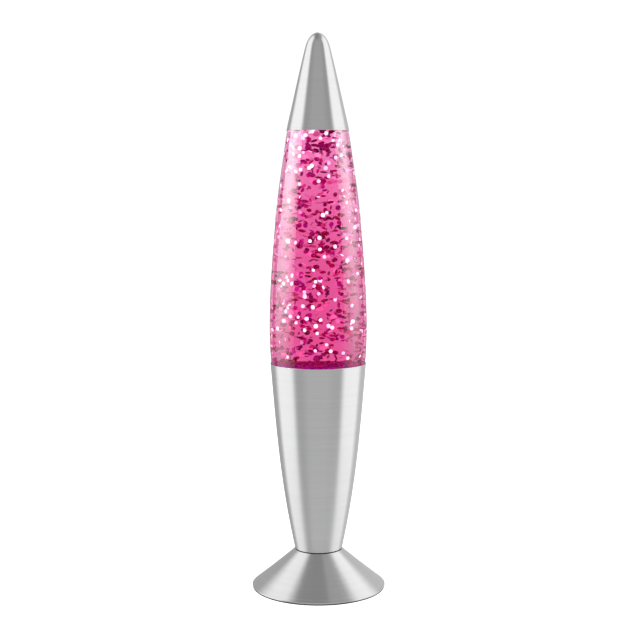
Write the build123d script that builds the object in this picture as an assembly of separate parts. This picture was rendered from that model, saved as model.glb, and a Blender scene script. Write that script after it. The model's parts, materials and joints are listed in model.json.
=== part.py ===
from build123d import *
import math
import os
import random

# A glitter lamp: a spun foot, an inverted-cone body that holds an E14 reflector bulb,
# a sealed glass bottle of liquid and glitter that stands in the body's mouth, and a
# loose cone cap on top. Millimetres, +Z up, origin on the table under the lamp's axis.

os.makedirs("parts", exist_ok=True)

# ---- driving dimensions of the outside ----
TOTAL_HEIGHT = 410.0
FOOT_RADIUS = 49.8
PAD_THICKNESS = 1.0
HEM_HEIGHT = 0.8
NECK_RADIUS = 17.7
NECK_Z = 29.2
GASKET_THICKNESS = 0.6
GASKET_INSET = 0.3
LIP_RADIUS = 35.5
LIP_Z = 169.2
GLASS_AT_LIP = 34.9
BELLY_RADIUS = 36.05
BELLY_Z = 192.0
GLASS_AT_CAP = 22.3
CAP_RIM_RADIUS = 22.95
CAP_RIM_Z = 339.4

# ---- wall thicknesses and clearances ----
FOOT_WALL = 0.8
BODY_WALL = 0.4
BODY_FLOOR = 1.0
CAP_WALL = 0.4
GLASS_WALL = 2.3
LIQUID_GAP = 0.05

# ---- clamping stack on the threaded tube ----
TUBE_RADIUS = 5.0
TUBE_BORE = 3.6
TUBE_BOTTOM_Z = 9.0
TUBE_TOP_Z = 39.5
CLEARANCE_HOLE = 5.1
BRIDGE_THICKNESS = 1.5
WASHER_THICKNESS = 0.8
WASHER_RADIUS = 8.6
NUT_HEIGHT = 3.5
NUT_FLATS = 14.0

# ---- foot fittings ----
COVER_THICKNESS = 1.6
COVER_RADIUS = 46.8
PAD_INNER_RADIUS = 34.0
PAD_INSET = 0.3
SCREW_X = 22.0
BUSH_Z = 8.2
BUSH_RADIUS = 4.8
BUSH_BORE = 3.2
BUSH_INNER_Y = 33.0
BUSH_OUTER_Y = 46.5
BRIDGE_REACH = 14.0
BRIDGE_FOOT_REACH = 28.0
BRIDGE_HALF_WIDTH = 6.0
BLOCK_WIDTH = 18.0
POLE_X = 4.0
BLOCK_FRONT_Y = 10.0
BLOCK_DEPTH = 14.0
BLOCK_HEIGHT = 9.0
BARREL_RADIUS = 2.2
LEAD_RADIUS = 0.9

# ---- lampholder and bulb, E14 ----
THREAD_PITCH = 2.822
HOLDER_BOTTOM_Z = 34.6
HOLDER_TOP_Z = 77.5
HOLDER_RADIUS = 14.0
SLEEVE_RADIUS = 6.4
SLEEVE_FLANGE_RADIUS = 9.0
DOME_RADIUS = 12.8
DOME_BORE = 11.4
DOME_TOP_Z = 56.0
INSERT_RADIUS = 11.2
INSERT_BOTTOM_Z = 43.0
INSERT_TOP_Z = 75.8
SKIRT_BORE = 13.0
SKIRT_MOUTH = 7.6
SKIRT_BOTTOM_Z = 46.5
TERMINAL_X = 8.4
CONTACT_WIDTH = 4.0
SOCKET_FLOOR_Z = 50.0
SOCKET_RADIUS = 7.3

# ---- bulb: heights called _RISE are above its tip ----
BULB_TIP_Z = 51.2
BULB_LENGTH = 67.0
BULB_RADIUS = 19.5
BULB_WALL = 0.7
BUTTON_RISE = 1.0
INSULATOR_RISE = 5.0
SHELL_ROOT = 6.2
SHELL_CREST = 6.9
SHELL_WALL = 0.5
SHELL_RISE = 25.8
THREAD_TURNS = 5
THROAT_RADIUS = 5.5
THROAT_RISE = 20.0
FLARE_RISE = 26.5
FLARE_MIDDLE = (11.2, 36.8)
WIDEST_RISE = 54.5
FRONT_SHOULDER = (14.6, 63.8)
STEM_LENGTH = 20.0
WIRE_RADIUS = 0.3
WIRE_REACH = 5.0
WIRE_LENGTH = 9.0
FILAMENT_RADIUS = 0.45
FILAMENT_LENGTH = 10.4

# ---- bottle ----
SEAT_Z = 151.2
SEAT_THICKNESS = 1.2
SEAT_HOLE = 22.0
SEAT_RADIUS = 33.4
SEAT_SKIRT_DEPTH = 9.0
PUNT_HEIGHT = 2.2
BOTTLE_BASE_RADIUS = 26.5
BOTTLE_FLOOR_RADIUS = 23.5
BOTTLE_FLOOR_Z = 156.4
SETTLED_TOP_Z = 168.6
LIQUID_TOP_Z = 349.0
BOTTLE_NECK = 11.6
BOTTLE_NECK_BORE = 9.2
NECK_START_Z = 356.0
BOTTLE_TOP_Z = 368.0
CLOSURE_BOTTOM_Z = 358.0
CLOSURE_TOP_Z = 370.0
CLOSURE_RADIUS = 13.6
RIB_COUNT = 40
FLAKE_COUNT = 90
FLAKE_REACH = 29.0
FLAKE_RADIUS = 1.3
FLAKE_THICKNESS = 0.12

# ---- outlines as (radius, height) ----
BODY_LINE = [
    (NECK_RADIUS, NECK_Z),
    (20.9, 44.9),
    (24.2, 63.5),
    (28.4, 93.0),
    (32.1, 128.7),
    (LIP_RADIUS, LIP_Z),
]
GLASS_LINE = [
    (33.8, 159.5),
    (GLASS_AT_LIP, LIP_Z),
    (BELLY_RADIUS, BELLY_Z),
    (35.2, 225.0),
    (33.0, 256.5),
    (28.9, 296.0),
    (25.2, 321.5),
    (GLASS_AT_CAP, CAP_RIM_Z),
    (20.5, 347.0),
]
CAP_LINE = [
    (CAP_RIM_RADIUS, CAP_RIM_Z),
    (20.45, 350.8),
    (16.4, 368.5),
    (12.3, 386.3),
    (9.6, 397.3),
    (7.25, 404.3),
    (4.0, 408.4),
    (0.0, TOTAL_HEIGHT),
]

FOOT_TOP_Z = NECK_Z - GASKET_THICKNESS
FOOT_MIDDLE = (33.3, 15.2)
RIM_Z = PAD_THICKNESS
HEM_TOP_Z = RIM_Z + HEM_HEIGHT
COVER_TOP_Z = PAD_THICKNESS + COVER_THICKNESS
FOOT_SLOPE = (FOOT_RADIUS - NECK_RADIUS) / (FOOT_TOP_Z - HEM_TOP_Z)
FOOT_WALL_ACROSS = FOOT_WALL * math.hypot(1.0, FOOT_SLOPE)
FOOT_TOP_UNDERSIDE = FOOT_TOP_Z - FOOT_WALL
BRIDGE_UNDERSIDE = FOOT_TOP_UNDERSIDE - BRIDGE_THICKNESS
BODY_FLOOR_TOP = NECK_Z + BODY_FLOOR
POLE_Z = COVER_TOP_Z + 4.0

nodes = {}


# ---- helpers ----
def turned(*edges):
    """Turn a closed (radius, height) outline about the lamp's axis."""
    return revolve(Plane.XZ * make_face(edges), Axis.Z)


def turned_polygon(*points):
    """Turn a straight-sided (radius, height) outline about the lamp's axis."""
    return turned(Polyline(*points, close=True))


def ring(inner, outer, bottom, top):
    """A plain ring about the lamp's axis."""
    return turned_polygon((inner, bottom), (outer, bottom), (outer, top), (inner, top))


def disc(radius, bottom, top, x=0.0, y=0.0):
    """An upright solid disc with its axis at x, y."""
    return Pos(x, y, bottom) * extrude(Circle(radius), top - bottom)


def block(x_size, y_size, z_size, centre):
    """A box by its size and centre."""
    return Pos(*centre) * Box(x_size, y_size, z_size)


def moved_in(line, amount):
    """The same outline with every radius smaller by amount."""
    return [(radius - amount, height) for radius, height in line]


def hex_nut(bottom):
    """A hexagon nut on the threaded tube."""
    blank = extrude(RegularPolygon(NUT_FLATS / 2, 6, major_radius=False), NUT_HEIGHT)
    corner_cut = NUT_FLATS / 2 + 0.4
    dome = turned_polygon(
        (0, 0), (corner_cut, 0), (corner_cut + 0.8, 0.8),
        (corner_cut + 0.8, NUT_HEIGHT - 0.8), (corner_cut, NUT_HEIGHT), (0, NUT_HEIGHT),
    )
    return Pos(0, 0, bottom) * ((blank & dome) - disc(TUBE_RADIUS, -1, NUT_HEIGHT + 1))


def slotted_screw(head_radius, head_height, shank_radius, length):
    """A slotted screw standing on its head, shank upwards."""
    head = fillet(disc(head_radius, 0, head_height).edges().group_by(Axis.Z)[0], 0.3)
    shank = disc(shank_radius, head_height, head_height + length)
    slot = block(3 * head_radius, 0.6, 0.8, (0, 0, 0))
    return head + shank - slot


# ---- foot ----
def foot_shell():
    """Spun, slightly hollow cone with a short hem at the rim and a flat top."""
    hem_inside = FOOT_RADIUS - FOOT_WALL
    meet_z = HEM_TOP_Z - (FOOT_WALL_ACROSS - FOOT_WALL) / FOOT_SLOPE
    top_inside = NECK_RADIUS - FOOT_WALL_ACROSS + FOOT_WALL * FOOT_SLOPE
    middle_inside = (FOOT_MIDDLE[0] - FOOT_WALL_ACROSS, FOOT_MIDDLE[1])
    shell = turned(
        Polyline((hem_inside, meet_z), (hem_inside, RIM_Z), (FOOT_RADIUS, RIM_Z),
                 (FOOT_RADIUS, HEM_TOP_Z)),
        ThreePointArc((FOOT_RADIUS, HEM_TOP_Z), FOOT_MIDDLE, (NECK_RADIUS, FOOT_TOP_Z)),
        Polyline((NECK_RADIUS, FOOT_TOP_Z), (CLEARANCE_HOLE, FOOT_TOP_Z),
                 (CLEARANCE_HOLE, FOOT_TOP_UNDERSIDE), (top_inside, FOOT_TOP_UNDERSIDE)),
        ThreePointArc((top_inside, FOOT_TOP_UNDERSIDE), middle_inside, (hem_inside, meet_z)),
    )
    bush_hole = Pos(0, BUSH_INNER_Y, BUSH_Z) * Rot(90, 0, 0) * Cylinder(BUSH_RADIUS, 30)
    return shell - bush_hole


def neck_gasket():
    """Black fibre washer between the foot and the body, seen as a dark line."""
    return ring(CLEARANCE_HOLE, NECK_RADIUS - GASKET_INSET, FOOT_TOP_Z, NECK_Z)


def base_pad():
    """Anti-slip foam ring under the cover and the rim."""
    return ring(PAD_INNER_RADIUS, FOOT_RADIUS - PAD_INSET, 0, PAD_THICKNESS)


def foot_cover():
    """Flat plate that closes the foot, with a stiffening ring and two screw holes."""
    plate = disc(COVER_RADIUS, PAD_THICKNESS, COVER_TOP_Z)
    rib = ring(COVER_RADIUS - 8, COVER_RADIUS - 6.8, COVER_TOP_Z, COVER_TOP_Z + 1.2)
    for x in (-SCREW_X, SCREW_X):
        plate -= disc(1.7, 0, 10, x)
    bush_relief = block(12, 12, 3, (0, COVER_RADIUS - 6, COVER_TOP_Z + 1.5))
    return plate + (rib - bush_relief)


def foot_bridge():
    """Bent steel strap, clamped under the foot's top, that the cover screws pull on."""
    gauge, inner_reach = BRIDGE_THICKNESS, BRIDGE_REACH - BRIDGE_THICKNESS
    half = [
        (0, BRIDGE_UNDERSIDE), (inner_reach, BRIDGE_UNDERSIDE), (inner_reach, COVER_TOP_Z),
        (BRIDGE_FOOT_REACH, COVER_TOP_Z), (BRIDGE_FOOT_REACH, COVER_TOP_Z + gauge),
        (BRIDGE_REACH, COVER_TOP_Z + gauge), (BRIDGE_REACH, FOOT_TOP_UNDERSIDE),
    ]
    side = half + [(-x, z) for x, z in half[:0:-1]]
    strap = extrude(
        Plane.XZ * make_face(Polyline(*side, close=True)), BRIDGE_HALF_WIDTH, both=True
    )
    strap -= disc(CLEARANCE_HOLE, BRIDGE_UNDERSIDE - 1, FOOT_TOP_UNDERSIDE + 1)
    for x in (-SCREW_X, SCREW_X):
        strap -= disc(1.5, 0, 10, x)
    return strap


def cover_screws():
    """Two pan-head screws from below, through the cover into the bridge's feet."""
    head_height = 0.85
    screw = slotted_screw(2.8, head_height, 1.5, 5.0)
    return [Pos(x, 0, PAD_THICKNESS - head_height) * screw for x in (-SCREW_X, SCREW_X)]


def cord_bush():
    """Moulded bush that lines the cord hole at the back of the foot."""
    length = BUSH_OUTER_Y - BUSH_INNER_Y
    tube = Cylinder(BUSH_RADIUS, length)
    tube = fillet(tube.edges().group_by(Axis.Z)[0], 1.0) - Cylinder(BUSH_BORE, length)
    return Pos(0, BUSH_INNER_Y + length / 2, BUSH_Z) * Rot(90, 0, 0) * tube


def terminal_block():
    """Two-pole connector block on the cover, behind the bridge."""
    body = block(
        BLOCK_WIDTH, BLOCK_DEPTH, BLOCK_HEIGHT,
        (0, BLOCK_FRONT_Y + BLOCK_DEPTH / 2, COVER_TOP_Z + BLOCK_HEIGHT / 2),
    )
    body = fillet(body.edges().filter_by(Axis.Z), 1.2)
    body -= block(1.6, 20, 5, (0, BLOCK_FRONT_Y + BLOCK_DEPTH / 2, COVER_TOP_Z + BLOCK_HEIGHT))
    for x in (-POLE_X, POLE_X):
        body -= Pos(x, BLOCK_FRONT_Y, POLE_Z) * Rot(90, 0, 0) * Cylinder(BARREL_RADIUS, 40)
        for y in terminal_screw_places():
            body -= disc(1.5, POLE_Z, COVER_TOP_Z + BLOCK_HEIGHT + 1, x, y)
    return body


def terminal_screw_places():
    """The two screw rows along the block's depth."""
    return (BLOCK_FRONT_Y + 3.5, BLOCK_FRONT_Y + BLOCK_DEPTH - 3.5)


def terminal_barrels():
    """Brass clamping barrels, one for each pole."""
    length = BLOCK_DEPTH - 2
    barrel = Rot(90, 0, 0) * (Cylinder(BARREL_RADIUS, length) - Cylinder(1.2, length))
    middle_y = BLOCK_FRONT_Y + BLOCK_DEPTH / 2
    return [Pos(x, middle_y, POLE_Z) * barrel for x in (-POLE_X, POLE_X)]


def terminal_screws():
    """Four clamping screws that press down on the barrels."""
    bottom = POLE_Z + BARREL_RADIUS
    top = COVER_TOP_Z + BLOCK_HEIGHT - 0.6
    slot = block(4, 0.5, 1.2, (0, 0, top - bottom))
    screw = disc(1.4, 0, top - bottom) - slot
    places = [(x, y) for x in (-POLE_X, POLE_X) for y in terminal_screw_places()]
    return [Pos(x, y, bottom) * screw for x, y in places]


def lead(side):
    """Insulated wire from the block, up the tube, to one holder terminal."""
    in_tube_x = side * 1.3
    low_z, high_z = 5.6, 41.6
    path = FilletPolyline(
        (side * POLE_X, BLOCK_FRONT_Y + 2.0, POLE_Z),
        (side * POLE_X, BLOCK_FRONT_Y - 2.0, POLE_Z),
        (in_tube_x, 0.0, low_z),
        (in_tube_x, 0.0, high_z),
        (side * 6.0, 0.0, high_z),
        radius=[1.2, 3.0, 2.8],
    )
    section = Plane(origin=path @ 0, z_dir=path % 0) * Circle(LEAD_RADIUS)
    return sweep(section, path)


# ---- clamping stack ----
def threaded_tube():
    """Hollow rod that clamps foot and body together and carries the holder."""
    bevel = 0.4
    return turned_polygon(
        (TUBE_BORE, TUBE_BOTTOM_Z), (TUBE_RADIUS - bevel, TUBE_BOTTOM_Z),
        (TUBE_RADIUS, TUBE_BOTTOM_Z + bevel), (TUBE_RADIUS, TUBE_TOP_Z - bevel),
        (TUBE_RADIUS - bevel, TUBE_TOP_Z), (TUBE_BORE, TUBE_TOP_Z),
    )


def lock_washers():
    """One washer under each nut."""
    low = ring(CLEARANCE_HOLE, WASHER_RADIUS, BRIDGE_UNDERSIDE - WASHER_THICKNESS, BRIDGE_UNDERSIDE)
    high = ring(CLEARANCE_HOLE, WASHER_RADIUS, BODY_FLOOR_TOP, BODY_FLOOR_TOP + WASHER_THICKNESS)
    return [low, high]


def tube_nuts():
    """Lower nut inside the foot, upper nut inside the body."""
    low = hex_nut(BRIDGE_UNDERSIDE - WASHER_THICKNESS - NUT_HEIGHT)
    high = hex_nut(BODY_FLOOR_TOP + WASHER_THICKNESS)
    return [low, high]


# ---- body ----
def body_shell():
    """Inverted spun cone with a flat floor at the neck and an open mouth."""
    inside = moved_in(BODY_LINE, BODY_WALL)
    floor_inside = (inside[0][0] + 0.25, BODY_FLOOR_TOP)
    return turned(
        Spline(*BODY_LINE),
        Line(BODY_LINE[-1], inside[-1]),
        Spline(*([floor_inside] + inside[1:])),
        Line(floor_inside, (CLEARANCE_HOLE, BODY_FLOOR_TOP)),
        Line((CLEARANCE_HOLE, BODY_FLOOR_TOP), (CLEARANCE_HOLE, NECK_Z)),
        Line((CLEARANCE_HOLE, NECK_Z), BODY_LINE[0]),
    )


def bottle_seat():
    """Pressed ring, wedged in the cone, that the bottle stands on."""
    skirt_bottom = SEAT_Z - SEAT_SKIRT_DEPTH
    skirt_radius = SEAT_RADIUS - 0.09 * SEAT_SKIRT_DEPTH
    return turned_polygon(
        (SEAT_HOLE, SEAT_Z - SEAT_THICKNESS), (SEAT_HOLE, SEAT_Z), (SEAT_RADIUS, SEAT_Z),
        (skirt_radius, skirt_bottom), (skirt_radius - 0.9, skirt_bottom),
        (SEAT_RADIUS - 1.0, SEAT_Z - SEAT_THICKNESS),
    )


# ---- lampholder ----
def holder_sleeve():
    """Metal thread insert that screws the holder onto the tube."""
    flange_low, flange_high = HOLDER_BOTTOM_Z + 2.4, HOLDER_BOTTOM_Z + 3.6
    return turned_polygon(
        (TUBE_RADIUS, HOLDER_BOTTOM_Z), (SLEEVE_RADIUS, HOLDER_BOTTOM_Z),
        (SLEEVE_RADIUS, flange_low), (SLEEVE_FLANGE_RADIUS, flange_low),
        (SLEEVE_FLANGE_RADIUS, flange_high), (SLEEVE_RADIUS, flange_high),
        (SLEEVE_RADIUS, TUBE_TOP_Z), (TUBE_RADIUS, TUBE_TOP_Z),
    )


def holder_dome():
    """Lower cup of the holder, which covers the terminals."""
    bevel, floor_top = 3.0, HOLDER_BOTTOM_Z + 2.4
    return turned_polygon(
        (SLEEVE_RADIUS, HOLDER_BOTTOM_Z), (DOME_RADIUS - bevel, HOLDER_BOTTOM_Z),
        (DOME_RADIUS, HOLDER_BOTTOM_Z + bevel), (DOME_RADIUS, DOME_TOP_Z),
        (DOME_BORE, DOME_TOP_Z), (DOME_BORE, floor_top), (SLEEVE_RADIUS, floor_top),
    )


def holder_insert():
    """Core with the bulb's socket, a slot for the side contact and two terminal holes."""
    bottom, top, slot_width = INSERT_BOTTOM_Z, INSERT_TOP_Z, CONTACT_WIDTH + 0.2
    core = disc(INSERT_RADIUS, bottom, top) - disc(SOCKET_RADIUS, SOCKET_FLOOR_Z, top + 1)
    core -= block(1.3, slot_width, 29, (7.75, 0, bottom + 14.5))
    core -= block(3.4, slot_width, 4.0, (6.4, 0, SOCKET_FLOOR_Z - 1.4))
    for x in (-TERMINAL_X, TERMINAL_X):
        core -= disc(1.35, bottom - 1, bottom + 4, x)
    core -= block(9.4, slot_width, 1.6, (-4.0, 0, bottom + 4.6))
    core -= disc(2.2, bottom + 4, SOCKET_FLOOR_Z + 1)
    return core


def holder_side_contact():
    """Spring strip that touches the bulb's threaded shell."""
    strip = block(0.5, CONTACT_WIDTH, 24.0, (7.45, 0, INSERT_BOTTOM_Z + 16.0))
    return strip + block(1.2, CONTACT_WIDTH, 0.5, (7.6, 0, INSERT_BOTTOM_Z + 4.25))


def holder_centre_contact():
    """Strip under the socket with a raised button for the bulb's tip."""
    strip = block(9.0, CONTACT_WIDTH, 0.5, (-4.0, 0, INSERT_BOTTOM_Z + 4.15))
    button = disc(2.0, INSERT_BOTTOM_Z + 4.3, BULB_TIP_Z - 0.1)
    return strip + button


def holder_skirt():
    """Outer shell of the holder, with a top lip over the core."""
    bevel, lip_underside = 1.0, HOLDER_TOP_Z - 1.5
    return turned_polygon(
        (SKIRT_BORE, SKIRT_BOTTOM_Z), (HOLDER_RADIUS, SKIRT_BOTTOM_Z),
        (HOLDER_RADIUS, HOLDER_TOP_Z - bevel), (HOLDER_RADIUS - bevel, HOLDER_TOP_Z),
        (SKIRT_MOUTH, HOLDER_TOP_Z), (SKIRT_MOUTH, lip_underside), (SKIRT_BORE, lip_underside),
    )


def holder_terminal_screws():
    """One slotted screw for each lead, heads down."""
    head_height = 1.3
    screw = slotted_screw(2.2, head_height, 1.3, 3.6)
    bottom = INSERT_BOTTOM_Z - head_height
    return [Pos(x, 0, bottom) * screw for x in (-TERMINAL_X, TERMINAL_X)]


# ---- bulb ----
def bulb_contact():
    """Solder button at the bulb's tip."""
    button = turned_polygon((0, 0), (1.8, 0), (2.5, 0.5), (2.5, BUTTON_RISE), (0, BUTTON_RISE))
    return button.moved(Location((0, 0, BULB_TIP_Z)))


def bulb_insulator():
    """Glass-like insulating cone between the button and the shell."""
    low, high = BULB_TIP_Z + BUTTON_RISE, BULB_TIP_Z + INSULATOR_RISE
    return turned_polygon((0, low), (2.9, low), (SHELL_ROOT - 0.4, high), (0, high))


def bulb_screw_cap():
    """Threaded shell: a tube with a rolled round thread and a plain collar on top."""
    low, high = BULB_TIP_Z + INSULATOR_RISE, BULB_TIP_Z + SHELL_RISE
    inner, floor = SHELL_ROOT - SHELL_WALL, low + SHELL_WALL
    collar_height, collar_flare = 4.0, 0.8
    shell = turned_polygon(
        (0, low), (SHELL_ROOT, low), (SHELL_ROOT, high - collar_height),
        (SHELL_CREST, high - collar_height + collar_flare), (SHELL_CREST, high),
        (inner, high), (inner, floor), (0, floor),
    )
    first_thread, root_overlap, tooth_half = low + 1.3, 0.15, 0.95
    helix = Helix(
        THREAD_PITCH, THREAD_PITCH * THREAD_TURNS, SHELL_ROOT - root_overlap,
        center=(0, 0, first_thread),
    )
    crest = SHELL_CREST - SHELL_ROOT + root_overlap
    tooth = Plane(origin=helix @ 0, x_dir=(1, 0, 0), z_dir=helix % 0) * make_face([
        ThreePointArc((0, -tooth_half), (crest, 0), (0, tooth_half)),
        Line((0, tooth_half), (0, -tooth_half)),
    ])
    return shell + sweep(tooth, helix, is_frenet=True)


def bulb_glass():
    """Reflector bulb: narrow throat, flared reflector and a shallow domed front."""
    low, collar = BULB_TIP_Z + THROAT_RISE, BULB_TIP_Z + FLARE_RISE
    widest, top = BULB_TIP_Z + WIDEST_RISE, BULB_TIP_Z + BULB_LENGTH

    def outline(inset):
        throat, rim = THROAT_RADIUS - inset, BULB_RADIUS - inset
        middle = (FLARE_MIDDLE[0] - inset, BULB_TIP_Z + FLARE_MIDDLE[1])
        shoulder = (FRONT_SHOULDER[0] - inset, BULB_TIP_Z + FRONT_SHOULDER[1])
        return [
            Line((throat, low), (throat, collar)),
            Spline((throat, collar), middle, (rim, widest), tangents=[(0.35, 1), (0, 1)]),
            Spline((rim, widest), shoulder, (0, top - inset), tangents=[(0, 1), (-1, 0)]),
        ]

    outer, inner = outline(0.0), outline(BULB_WALL)
    foot = Line((THROAT_RADIUS, low), (THROAT_RADIUS - BULB_WALL, low))
    pole = Line((0, top), (0, top - BULB_WALL))
    return turned(*outer, *inner, foot, pole)


def bulb_stem():
    """Pinched glass stem that carries the support wires."""
    low = BULB_TIP_Z + THROAT_RISE
    high = low + STEM_LENGTH
    return turned_polygon((0, low), (4.6, low), (4.0, low + 2), (1.9, low + 6), (1.6, high), (0, high))


def bulb_support_wires():
    """Two wires from the stem to the filament's ends."""
    low = BULB_TIP_Z + THROAT_RISE + STEM_LENGTH
    wires = []
    for side in (-1, 1):
        path = Line((side * 0.9, 0, low), (side * WIRE_REACH, 0, low + WIRE_LENGTH))
        wires.append(sweep(Plane(origin=path @ 0, z_dir=path % 0) * Circle(WIRE_RADIUS), path))
    return wires


def bulb_filament():
    """Coiled filament, as the rod that the coil fills, resting on the wires' ends."""
    height = BULB_TIP_Z + THROAT_RISE + STEM_LENGTH + WIRE_LENGTH + 0.35
    rod = Cylinder(FILAMENT_RADIUS, FILAMENT_LENGTH)
    return Pos(0, 0, height) * Rot(0, 90, 0) * rod


# ---- bottle ----
def glass_bottle():
    """Sealed bottle: tucked-in base, full belly, long taper, short straight neck."""
    base = (BOTTLE_BASE_RADIUS, SEAT_Z)
    neck = (BOTTLE_NECK, NECK_START_Z + 1.0)
    outer = [
        Bezier(base, (31.2, SEAT_Z), (33.1, 154.2), GLASS_LINE[0]),
        Spline(*GLASS_LINE),
        Bezier(GLASS_LINE[-1], (18.9, 352.9), (BOTTLE_NECK, 351.6), neck),
        Polyline(neck, (BOTTLE_NECK, BOTTLE_TOP_Z), (BOTTLE_NECK_BORE, BOTTLE_TOP_Z)),
    ]
    punt = [
        ThreePointArc((0, SEAT_Z + PUNT_HEIGHT), (12.0, SEAT_Z + 1.7), (23.0, SEAT_Z)),
        Line((23.0, SEAT_Z), base),
        Line((0, SEAT_Z + PUNT_HEIGHT), (0, BOTTLE_FLOOR_Z)),
    ]
    mouth = Line((BOTTLE_NECK_BORE, NECK_START_Z), (BOTTLE_NECK_BORE, BOTTLE_TOP_Z))
    return turned(*outer, *punt, *bottle_inner_line(0.0), mouth)


def bottle_inner_line(gap):
    """The bottle's inner outline from the floor's middle to the neck, gap clear of it."""
    inside = moved_in(GLASS_LINE, GLASS_WALL + gap)
    floor, base, neck = BOTTLE_FLOOR_Z + gap, BOTTLE_FLOOR_RADIUS - gap, BOTTLE_NECK_BORE - gap
    return [
        Line((0, floor), (base, floor)),
        Bezier((base, floor), (28.6 - gap, floor), (30.9 - gap, floor + 0.6), inside[0]),
        Spline(*inside),
        Bezier(inside[-1], (16.7 - gap, 350.8), (neck, 349.8), (neck, NECK_START_Z)),
    ]


def bottle_inside(gap, low, high):
    """The space inside the bottle between two heights, gap clear of the glass."""
    neck = BOTTLE_NECK_BORE - gap
    middle = Polyline((neck, NECK_START_Z), (0, NECK_START_Z), (0, BOTTLE_FLOOR_Z + gap))
    return turned(*bottle_inner_line(gap), middle) & disc(FOOT_RADIUS, low, high)


def settled_glitter():
    """Loose bed of flakes on the bottle's floor."""
    return bottle_inside(LIQUID_GAP, BOTTLE_FLOOR_Z, SETTLED_TOP_Z)


def liquid():
    """The liquid above the bed, up to the air gap under the closure."""
    return bottle_inside(LIQUID_GAP, SETTLED_TOP_Z, LIQUID_TOP_Z)


def glitter():
    """Hexagonal flakes afloat in the liquid, none touching another."""
    draw = random.Random(14)
    flake = extrude(RegularPolygon(FLAKE_RADIUS, 6), FLAKE_THICKNESS)
    places, flakes = [], []
    while len(places) < FLAKE_COUNT:
        height = draw.uniform(SETTLED_TOP_Z + 4, LIQUID_TOP_Z - 6)
        share = (height - LIP_Z) / (CAP_RIM_Z - LIP_Z)
        reach = FLAKE_REACH - 12.0 * max(share, 0.0) ** 2
        angle, radius = draw.uniform(0, 360), reach * math.sqrt(draw.random())
        place = Vector(
            radius * math.cos(math.radians(angle)), radius * math.sin(math.radians(angle)), height
        )
        if all((place - other).length > 4 * FLAKE_RADIUS for other in places):
            places.append(place)
            tilt = Rot(draw.gauss(0, 18), draw.gauss(0, 18), draw.uniform(0, 60))
            flakes.append(Pos(*place) * tilt * flake)
    return flakes


def bottle_closure():
    """Ribbed screw closure over the bottle's neck."""
    rib_depth = 0.5
    outer = turned_polygon(
        (0, CLOSURE_BOTTOM_Z), (CLOSURE_RADIUS, CLOSURE_BOTTOM_Z),
        (CLOSURE_RADIUS, CLOSURE_TOP_Z - 1.0), (CLOSURE_RADIUS - 1.0, CLOSURE_TOP_Z),
        (0, CLOSURE_TOP_Z),
    )
    grooves = Sketch() + [
        loc * Circle(rib_depth) for loc in PolarLocations(CLOSURE_RADIUS + 0.1, RIB_COUNT)
    ]
    cutter = Pos(0, 0, CLOSURE_BOTTOM_Z + 1.5) * extrude(
        grooves, CLOSURE_TOP_Z - CLOSURE_BOTTOM_Z
    )
    return outer - disc(BOTTLE_NECK + 0.05, CLOSURE_BOTTOM_Z - 1, BOTTLE_TOP_Z + 0.9) - cutter


def closure_liner():
    """Foam disc between the neck and the closure."""
    return disc(BOTTLE_NECK - 0.1, BOTTLE_TOP_Z, BOTTLE_TOP_Z + 0.9)


# ---- cap ----
def cap_cone():
    """Spun cone with a softly pointed tip, open underneath."""
    inside = moved_in(CAP_LINE[:-2], CAP_WALL) + [(0.0, TOTAL_HEIGHT - 1.2)]
    start, tip = (-0.19, 1), (-1, 0)
    return turned(
        Spline(*CAP_LINE, tangents=[start, tip]),
        Spline(*inside, tangents=[start, tip]),
        Line(CAP_LINE[0], inside[0]),
        Line(CAP_LINE[-1], inside[-1]),
    )


# ---- every sub-part, by its node's name ----
nodes["foot_shell"] = foot_shell()
nodes["neck_gasket"] = neck_gasket()
nodes["base_pad"] = base_pad()
nodes["foot_cover"] = foot_cover()
nodes["foot_bridge"] = foot_bridge()
nodes["cover_screws"] = cover_screws()
nodes["cord_bush"] = cord_bush()
nodes["terminal_block"] = terminal_block()
nodes["terminal_barrels"] = terminal_barrels()
nodes["terminal_screws"] = terminal_screws()
nodes["lead_live"] = lead(1)
nodes["lead_neutral"] = lead(-1)
nodes["threaded_tube"] = threaded_tube()
nodes["lock_washers"] = lock_washers()
nodes["tube_nuts"] = tube_nuts()
nodes["body_shell"] = body_shell()
nodes["bottle_seat"] = bottle_seat()
nodes["holder_sleeve"] = holder_sleeve()
nodes["holder_dome"] = holder_dome()
nodes["holder_insert"] = holder_insert()
nodes["holder_side_contact"] = holder_side_contact()
nodes["holder_centre_contact"] = holder_centre_contact()
nodes["holder_skirt"] = holder_skirt()
nodes["holder_terminal_screws"] = holder_terminal_screws()
nodes["bulb_contact"] = bulb_contact()
nodes["bulb_insulator"] = bulb_insulator()
nodes["bulb_screw_cap"] = bulb_screw_cap()
nodes["bulb_glass"] = bulb_glass()
nodes["bulb_stem"] = bulb_stem()
nodes["bulb_support_wires"] = bulb_support_wires()
nodes["bulb_filament"] = bulb_filament()
nodes["glass_bottle"] = glass_bottle()
nodes["liquid"] = liquid()
nodes["glitter"] = glitter()
nodes["settled_glitter"] = settled_glitter()
nodes["bottle_closure"] = bottle_closure()
nodes["closure_liner"] = closure_liner()
nodes["cap_cone"] = cap_cone()

for name, shape in nodes.items():
    pieces = shape if isinstance(shape, list) else [shape]
    solids = [solid for piece in pieces for solid in piece.solids()]
    export_step(Compound(children=solids) if len(solids) > 1 else solids[0], f"parts/{name}.step")
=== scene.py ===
import json
import math
import random

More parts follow.
